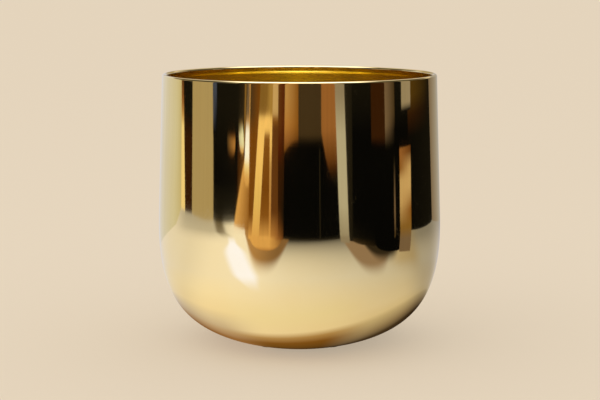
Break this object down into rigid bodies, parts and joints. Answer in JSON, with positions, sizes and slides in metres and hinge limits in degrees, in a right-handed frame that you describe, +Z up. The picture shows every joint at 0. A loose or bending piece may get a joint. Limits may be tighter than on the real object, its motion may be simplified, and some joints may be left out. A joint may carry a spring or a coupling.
{
  "type": "cachepot",
  "caption": "Round mirror-polished brass cachepot with a slightly tapering wall, bowl-shaped bottom and hemmed rim on stick-on feet; holds a potted plant without letting water through.",
  "frame": {"origin": "on the pot's axis, at the level that its feet stand on", "axes": "+Z up along the pot's axis; +Y away from the viewer and +X to the right in the front view, although the pot looks the same from all sides"},
  "size_m": [0.1898, 0.1898, 0.1815],
  "materials": {
    "polished_brass": "mirror-polished sheet brass, clear lacquered inside and out",
    "wire_steel": "bright drawn steel wire",
    "foot_rubber": "matt black moulded rubber",
    "tape_adhesive": "off-white double-sided adhesive film"
  },
  "bodies": {
    "root": {"pot_shell": "polished_brass", "rim_wire": "wire_steel", "foot_pad_1": "foot_rubber", "foot_pad_2": "foot_rubber", "foot_pad_3": "foot_rubber", "foot_pad_4": "foot_rubber", "pad_tape_1": "tape_adhesive", "pad_tape_2": "tape_adhesive", "pad_tape_3": "tape_adhesive", "pad_tape_4": "tape_adhesive"}
  },
  "joints": []
}
